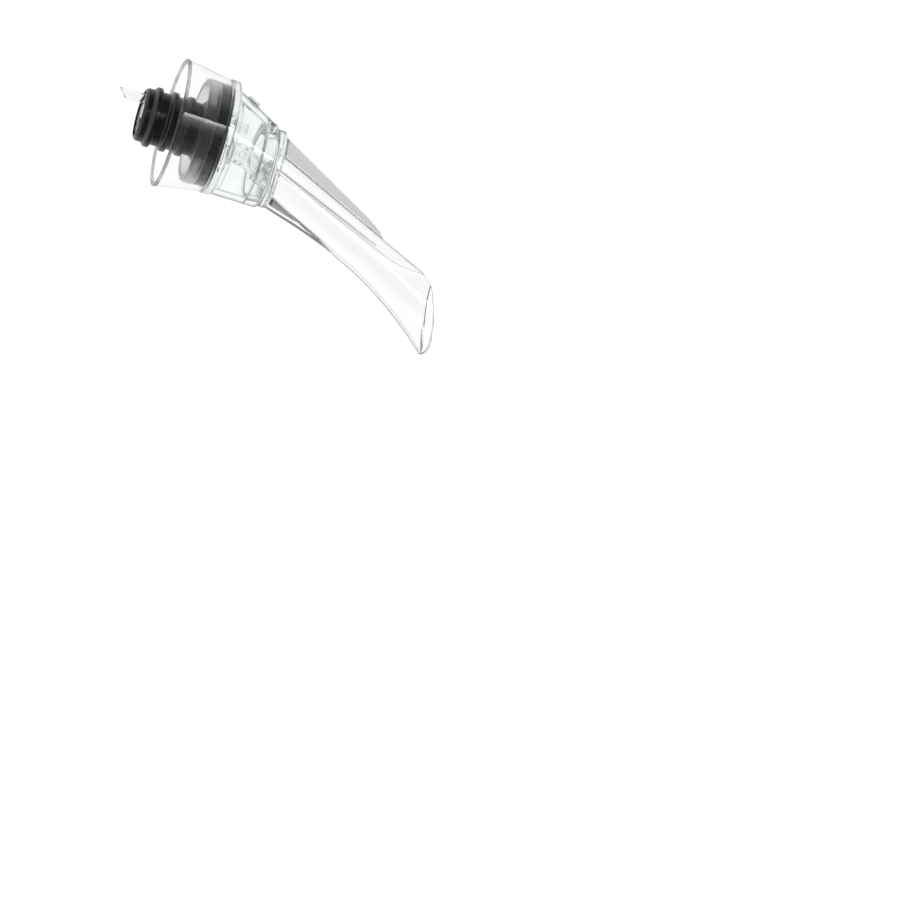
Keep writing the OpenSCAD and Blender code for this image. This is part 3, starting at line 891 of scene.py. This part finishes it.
def rounded_path(corners, cuts, straights):
    """A path with a curve at each inner corner, and a count of steps along each straight."""
    path = [ring[0] for ring in soften([[c] for c in corners], cuts, steps=CURVE_STEPS)]
    out, place = [path[0]], 0
    for count in straights:
        out += [between(path[place], path[place + 1], s / count) for s in range(1, count + 1)]
        out += path[place + 2:place + 2 + CURVE_STEPS]
        place += 1 + CURVE_STEPS
    return out


def fin_outline(t, plain, foot_x):
    """Half the fin's outline from its crest to the body, in place of the plain oval's stretch."""
    height = back_x(t) - fin_x(t)
    if height <= SHALLOW:
        return plain
    corners = [
        Vector((fin_x(t), 0, 0)),
        Vector((fin_x(t), FIN_HALF, 0)),
        Vector((foot_x, FIN_HALF, 0)),
        plain[-1],
    ]
    cuts = [0, min(FIN_EDGE, height / 3), min(FIN_FILLET, height / 2), 0]
    path = rounded_path(corners, cuts, FIN_STRAIGHTS)
    return [between(p, q, ease(height / FIN_FADE)) for p, q in zip(plain, path)]


def web_outline(t, plain, under):
    """Half the outline of the web and its rim, in place of the plain oval's stretch."""
    rim = rim_x(t)
    stand = rim - under(RIM_HALF)
    if t >= WEB_LEN or stand <= SHALLOW:
        return plain
    ledge = max(rim - RIM_T, under(RIM_HALF) + LEAST_LEDGE)
    notch = ledge - under(RIM_HALF)
    side = between(RIM_HALF, WEB_HALF, ease(notch / NOTCH_FADE))
    corners = [
        plain[0],
        Vector((under(side), side, 0)),
        Vector((ledge, side, 0)),
        Vector((ledge, RIM_HALF, 0)),
        Vector((rim, RIM_HALF, 0)),
        Vector((rim, 0, 0)),
    ]
    cuts = [0, WEB_FILLET, min(WEB_FILLET, notch / 2), LEDGE_EDGE, min(RIM_EDGE, stand / 3), 0]
    path = rounded_path(corners, cuts, WEB_STRAIGHTS)
    return [between(p, q, ease(stand / WEB_FADE)) for p, q in zip(plain, path)]


def spout_outline(t):
    """The level outline of the spout's outside: fin, oval body, and web with its rim."""
    far, near, half = back_x(t), under_x(t), outer_half(t)
    middle, reach = (far + near) / 2, (near - far) / 2

    def swing(y):
        return reach * math.sqrt(1 - (y / half) ** 2)

    def under(y):
        return middle + swing(y)

    plain = [Vector((middle - reach * math.cos(a), half * math.sin(a), 0)) for a in HALF_TURNS]
    top = fin_outline(t, plain[:FIN_STEPS + 1], middle - swing(FIN_HALF))
    side = plain[FIN_STEPS + 1:FIN_STEPS + SIDE_STEPS]
    bottom = web_outline(t, plain[FIN_STEPS + SIDE_STEPS:], under)
    right = top + side + bottom
    left = [Vector((p.x, -p.y, 0)) for p in right[-2:0:-1]]
    return [Vector((p.x, p.y, CHAMBER_TOP + t)) for p in right + left]


# The mouth's face in the mirror plane: its back corner, and the middles of its two round ends
CORNER = Vector((back_x(SPOUT_LEN), SPOUT_LEN))
LIP_ALONG = Vector((math.cos(MOUTH_TILT), math.sin(MOUTH_TILT)))
LIP_INWARD = Vector((math.sin(MOUTH_TILT), -math.cos(MOUTH_TILT)))
LIP_MIDDLE = (
    CORNER
    + LIP_ALONG * LIP_R / math.tan((math.pi / 2 + POUR + MOUTH_TILT) / 2)
    + LIP_INWARD * LIP_R
)
TIP_TOP = CORNER.y + (REACH - CORNER.x) * math.tan(MOUTH_TILT)
TIP_MIDDLE = Vector((REACH - TIP_R, TIP_TOP - TIP_R / math.tan((math.pi / 2 - MOUTH_TILT) / 2)))


def mouth_t(x, y):
    """Height of the mouth's face above the chamber: a tilted plane, round at the lip and at the tip."""
    if x < LIP_MIDDLE.x - LIP_R * math.sin(MOUTH_TILT):
        run = min(LIP_R * math.cos(POUR), LIP_MIDDLE.x - x)
        return LIP_MIDDLE.y + math.sqrt(LIP_R ** 2 - run ** 2)
    plane = CORNER.y + (x - CORNER.x) * math.tan(MOUTH_TILT)
    hub = REACH - TIP_PLAN_R
    if x <= hub - TIP_BLEND:
        return plane
    out = hub + math.hypot(past(x, hub), y)
    if out <= TIP_MIDDLE.x - TIP_R * math.sin(MOUTH_TILT):
        return plane
    run = min(TIP_R, out - TIP_MIDDLE.x)
    level = CORNER.y + (out - CORNER.x) * math.tan(MOUTH_TILT)
    drop = level - TIP_MIDDLE.y - math.sqrt(TIP_R ** 2 - run ** 2) + past(out, REACH) * TIP_FALL
    return plane - drop * ease((x - hub + TIP_BLEND) / (2 * TIP_BLEND))


# Heights of the spout's rings: the fillet at the root, the first levels, the steps between levels
# along the spout and at the fin's end, and where the rings start to lean over to the mouth
ROOT_FILLET = ((0.0, 0.22), (0.1, 0.09))
FIRST_LEVELS = (0.35, 0.8, 1.1)
LEVEL_STEP, FIN_END_STEP, LAST_STEP = 0.85, 0.45, 0.9
FIN_END_FROM, FIN_END_TO = FIN_LEN - 1, FIN_LEN + 3
LEAN_FROM, LEAN_SEARCH, OUTER_LEANS, INNER_LEANS = 44.0, 40.0, 26, 44
LIP_SHARES = (0.12, 0.3, 0.5, 0.7, 0.88)
MOUTH_EDGE, THROAT_EDGE = 0.32, 0.5


def section_point(a, t, far, near, half):
    x = (far + near) / 2 - (near - far) / 2 * math.cos(a)
    return Vector((x, half * math.sin(a), CHAMBER_TOP + t))


def body_point(a, t):
    return section_point(a, t, back_x(t), belly_x(t), outer_half(t))


def channel_point(a, t):
    return section_point(a, t, ceiling_x(t), floor_x(t), channel_half(t))


def run_out(point_at, a):
    """The height where a line of the spout meets the mouth's face."""
    def outside(t):
        p = point_at(a, t)
        return t >= mouth_t(p.x, p.y)
    return crossing(LEAN_FROM, LEAN_FROM + LEAN_SEARCH, outside)


def fanned(point_at, low, steps):
    """Rings that start level and lean over to the mouth's face."""
    ends = [run_out(point_at, a) for a in TURNS]
    shares = [k / steps for k in range(steps + 1)]
    return [[point_at(a, between(low, end, share)) for a, end in zip(TURNS, ends)] for share in shares]


def spread(ring, width):
    """A level outline grown sideways by a width."""
    out = []
    for k, p in enumerate(ring):
        way = ring[(k + 1) % len(ring)] - ring[k - 1]
        out.append(p + Vector((-way.y, way.x, 0)).normalized() * width)
    return out


def spout_levels():
    """The outlines of the fin, the body and the web, from the flange up to where the rings lean."""
    levels = [FLANGE_T + rise for rise in FIRST_LEVELS]
    while levels[-1] < LEAN_FROM - LAST_STEP:
        fine = FIN_END_FROM < levels[-1] < FIN_END_TO
        levels.append(levels[-1] + (FIN_END_STEP if fine else LEVEL_STEP))
    fillet = [spread(spout_outline(FLANGE_T + rise), width) for rise, width in ROOT_FILLET]
    return fillet + [spout_outline(t) for t in levels]


def lip_rings(outer, inner):
    """Rings across the mouth's face, between the outside and the channel."""
    rings = []
    for share in LIP_SHARES:
        spots = [between(p, q, share) for p, q in zip(outer, inner)]
        rings.append([Vector((p.x, p.y, CHAMBER_TOP + mouth_t(p.x, p.y))) for p in spots])
    return rings


def slant_level(r, z):
    """The wine tube's slant cut at a level."""
    return oval(WINE_X + (z - BEND_Z) * RISE, r / math.cos(POUR), r, z, TURNS)


def root_corners():
    """Rings with their roundings, from the throat by the socket and the plug ring to the flange."""
    under, ring_end, top = CHAMBER_TOP + AIR, CHAMBER_TOP - PLUG_RING_H, CHAMBER_TOP + FLANGE_T
    socket_end = SLANT_LEN - SPOUT_SOCKET
    return [
        (slant_level(THROAT_R, CHAMBER_TOP + CHANNEL_START), 0.2),
        (wine_ring(SLANT_LEN, THROAT_R, TURNS), 0.15),
        (wine_ring(SLANT_LEN, SOCKET_R, TURNS), 0.1),
        (wine_ring(socket_end, SOCKET_R, TURNS), 0.2),
        (wine_ring(socket_end, SOCKET_OUT_R, TURNS), 0.25),
        (slant_level(SOCKET_OUT_R, under), 0.3),
        (circle(END_X, PLUG_RING_IN_R, under, TURNS), 0.3),
        (circle(END_X, PLUG_RING_IN_R, ring_end, TURNS), 0.25),
        (circle(END_X, PLUG_RING_R, ring_end, TURNS), 0.3),
        (circle(END_X, PLUG_RING_R, under, TURNS), 0.1),
        (circle(END_X, FLANGE_R, under, TURNS), 0.3),
        (circle(END_X, FLANGE_R, top, TURNS), 0.14),
        (circle(END_X, FLANGE_R - FLANGE_EDGE, top, TURNS), 0),
    ]


# How dull the spout is, with grey shade painted where it is dulled: frost on fin and web, and wear at bends
# (degrees), at the roots of fin and web up to a height, along the web's rim up to where it runs out, and at
# the lip but for its back
FROST_AND_SHADE_FADE, FIN_FROST_AND_SHADE, FIN_SLACK, POCKET_SLACK, LEDGE_SLACK = 0.3, 0.6, 0.05, 0.2, 0.1
BEND_FROM, BEND_FADE = 4.0, 16.0
ROOT_WEAR_AND_SHADE, ROOT_WEAR_AND_SHADE_H = 1.8, 2.2
RIM_WEAR_AND_SHADE, RIM_WEAR_AND_SHADE_T, RIM_FADE, RIM_RUN_OUT, RUN_OUT_FADE = 1.8, 0.6, 0.3, 27.0, 6.0
LIP_WEAR_AND_SHADE, LIP_BACK, LIP_BACK_FADE = 2.6, 0.3, 0.4


# Where the fin and the web's pocket are frosted dull and painted with grey shade
def fin_frost_and_shade(x, y, t):
    return ease((back_x(t) - x) / FROST_AND_SHADE_FADE) if y < FIN_HALF + FIN_SLACK else 0.0


def web_frost_and_shade(x, y, t):
    in_pocket = y < RIM_HALF - POCKET_SLACK and x < rim_x(t) - RIM_T + LEDGE_SLACK
    return ease((x - under_x(t) + POCKET_SLACK) / FROST_AND_SHADE_FADE) if in_pocket else 0.0


def rim_wear_and_shade(x, y, t):
    on_rim = ease((x - rim_x(t) + RIM_WEAR_AND_SHADE_T) / RIM_FADE) if y < RIM_HALF + LEDGE_SLACK else 0.0
    return RIM_WEAR_AND_SHADE * on_rim * ease((RIM_RUN_OUT - t) / RUN_OUT_FADE)


def dull_and_shade_spout(bm, levels, lip_edge):
    frost_and_shade, wear_and_edge_shade = bm.verts.layers.float["frost_and_shade"], bm.verts.layers.float["wear_and_edge_shade"]
    for ring in levels:
        for k, vert in enumerate(ring):
            place = (vert.co.x / MM, abs(vert.co.y / MM), vert.co.z / MM - CHAMBER_TOP)
            fin, web = fin_frost_and_shade(*place), web_frost_and_shade(*place)
            vert[frost_and_shade] = max(fin * FIN_FROST_AND_SHADE, web)
            # Bends, the roots of fin and web, and the web's rim are dulled and painted with grey shade
            bend = (vert.co - ring[k - 1].co).angle(ring[(k + 1) % len(ring)].co - vert.co, 0.0)
            bend_wear_and_shade = ease((math.degrees(bend) - BEND_FROM) / BEND_FADE)
            root_wear_and_shade = ROOT_WEAR_AND_SHADE * max(fin, web) if place[2] < FLANGE_T + ROOT_WEAR_AND_SHADE_H else 0.0
            vert[wear_and_edge_shade] = max(bend_wear_and_shade, root_wear_and_shade, rim_wear_and_shade(*place))
    # The lip's edge gets more dulling and more painted grey shade, but for its back
    for ring in lip_edge:
        for a, vert in zip(TURNS, ring):
            vert[wear_and_edge_shade] *= LIP_WEAR_AND_SHADE
            if math.cos(a) > 0:
                vert[wear_and_edge_shade] *= ease((abs(math.sin(a)) - LIP_BACK) / LIP_BACK_FADE)


def build_spout():
    bm = new_skin()
    levels = spout_levels()
    outer = levels + fanned(body_point, LEAN_FROM, OUTER_LEANS)
    inner = fanned(channel_point, CHANNEL_START, INNER_LEANS)[::-1]
    corners = [(ring, 0) for ring in outer[:-1]]
    corners.append((outer[-1], MOUTH_EDGE))
    corners += [(ring, 0) for ring in lip_rings(outer[-1], inner[0])]
    corners.append((inner[0], MOUTH_EDGE))
    corners += [(ring, 0) for ring in inner[1:-1]]
    corners.append((inner[-1], THROAT_EDGE))
    corners += root_corners()
    grid = skin(bm, soften(*zip(*corners)))
    fill_flat(bm, [grid[0], grid[-1]])
    edge_row = len(outer) - 1
    dull_and_shade_spout(bm, grid[:len(levels)], grid[edge_row:edge_row + EDGE_STEPS + 1])
    return finish_piece(bm, "clear_spout", "spout", "pourer", "clear_spout", CLEAR_SPOUT)


build_drip_skirt()
build_stopper()
build_lip_ring()
build_wine_tube()
build_air_tube()
build_chamber()
build_spout()


# Stage, light and camera, in metres

FLOOR_HALF, FLOOR_Z = 3.0, -0.3
BACKDROP = 1.07  # a little over white, as a backdrop is exposed
STRIPE = 0.4  # share of a lamp's width that its bright stripe takes

# The camera's place, the point that it looks at, its roll about that line, and its lens in millimetres
CAMERA_PLACE = Vector((0.05258, -0.81837, -0.11591))
CAMERA_AIM = Vector((0.0777, 0.0, 0.10659))
CAMERA_ROLL = math.radians(104.92)
SENSOR, LENS = 36.0, 102.66

WALL_BOUNCES, CLEAR_BOUNCES = 32, 16


def pale_floor():
    bm = bmesh.new()
    bmesh.ops.create_grid(bm, x_segments=1, y_segments=1, size=FLOOR_HALF)
    bmesh.ops.translate(bm, vec=(0, 0, FLOOR_Z), verts=bm.verts)
    mesh = bpy.data.meshes.new("floor")
    bm.to_mesh(mesh)
    bm.free()
    material, tree, shader, place = new_material("pale_floor")
    tone = shade(tree, noise(tree, place, scale=9, detail=3), (0.93, 0.93, 0.93), (0.95, 0.95, 0.95))
    feed(tree, tone, shader.inputs["Base Color"])
    shader.inputs["Roughness"].default_value = 0.9
    mesh.materials.append(material)
    floor = bpy.data.objects.new("floor", mesh)
    bpy.context.scene.collection.objects.link(floor)


def studio_world():
    """A white room that is dimmer through clear plastic and in its reflections, so that edges show."""
    world = bpy.data.worlds.new("studio")
    bpy.context.scene.world = world
    world.use_nodes = True
    tree = world.node_tree
    tree.nodes.clear()
    way = add(tree, "ShaderNodeSeparateXYZ")
    feed(tree, add(tree, "ShaderNodeTexCoord").outputs["Generated"], way.inputs[0])
    path = add(tree, "ShaderNodeLightPath").outputs
    refracted = maths(tree, "MINIMUM", path["Transmission Depth"], 1.0)
    mirrored = maths(tree, "MINIMUM", path["Glossy Depth"], 1.0)
    inside = times(tree, mirrored, refracted)
    outside = maths(tree, "SUBTRACT", mirrored, inside)
    slope = maths(tree, "ABSOLUTE", way.outputs["Z"])
    # How much dimmer: overhead and underfoot through plastic, then mirrored within and on its walls
    beyond = times(tree, refracted, stretch(tree, slope, 0.35, 0.9, 0.0, 0.5))
    within = times(tree, inside, stretch(tree, way.outputs["Y"], -0.7, -0.1, 0.8, 0.05))
    ahead = times(tree, outside, stretch(tree, way.outputs["Y"], -0.2, 0.6, 0.93, 0.33))
    dimmed = maths(tree, "SUBTRACT", 1.0, most(tree, beyond, within, ahead))
    plain = maths(tree, "ADD", path["Is Camera Ray"], path["Diffuse Depth"], clamp=True)
    back = add(tree, "ShaderNodeBackground")
    back.inputs["Color"].default_value = (1, 1, 1, 1)
    feed(tree, times(tree, most(tree, dimmed, plain), BACKDROP), back.inputs["Strength"])
    feed(tree, back.outputs["Background"], add(tree, "ShaderNodeOutputWorld").inputs["Surface"])


def soft_box(name, place, aim, width, height, power, glow):
    """An area lamp with a bright stripe along one side and a dimmer glow that fades to the other."""
    lamp = bpy.data.lights.new(name, "AREA")
    lamp.use_nodes = True
    tree = lamp.node_tree
    across = add(tree, "ShaderNodeSeparateXYZ")
    feed(tree, add(tree, "ShaderNodeNewGeometry").outputs["Parametric"], across.inputs[0])
    stripe = stretch(tree, across.outputs["X"], 0.0, STRIPE, 1.0, 0.0)
    fading = stretch(tree, across.outputs["X"], 0.0, 1.0, glow, 0.0)
    feed(tree, most(tree, stripe, fading), tree.nodes["Emission"].inputs["Strength"])
    lamp.shape = "RECTANGLE"
    lamp.size, lamp.size_y, lamp.energy = width, height, power
    box = bpy.data.objects.new(name, lamp)
    box.location = place
    box.rotation_mode = "QUATERNION"
    box.rotation_quaternion = (Vector(aim) - Vector(place)).to_track_quat("-Z", "Y")
    box.visible_transmission = False
    bpy.context.scene.collection.objects.link(box)


def photo_camera():
    camera = bpy.data.objects.new("camera", bpy.data.cameras.new("camera"))
    camera.data.sensor_width = SENSOR
    camera.data.lens = LENS
    camera.location = CAMERA_PLACE
    camera.rotation_mode = "QUATERNION"
    look = (CAMERA_AIM - CAMERA_PLACE).to_track_quat("-Z", "Y")
    camera.rotation_quaternion = look @ Quaternion((0, 0, 1), CAMERA_ROLL)
    bpy.context.scene.collection.objects.link(camera)
    bpy.context.scene.camera = camera


def clear_light():
    """Enough bounces for light to cross every wall, and white that stays white."""
    scene = bpy.context.scene
    scene.view_settings.view_transform = "Standard"
    scene.cycles.max_bounces = WALL_BOUNCES
    scene.cycles.transmission_bounces = WALL_BOUNCES
    scene.cycles.glossy_bounces = WALL_BOUNCES
    scene.cycles.transparent_max_bounces = CLEAR_BOUNCES


pale_floor()
studio_world()
soft_box(
    "front", place=(-0.12, -0.94, 0.47), aim=(0, 0, 0),
    width=0.5, height=0.7, power=13, glow=0.22,
)
soft_box(
    "rear", place=(-0.25, 0.45, 0.9), aim=(0, 0, 0.03),
    width=0.6, height=0.6, power=4, glow=0.6,
)
photo_camera()
clear_light()
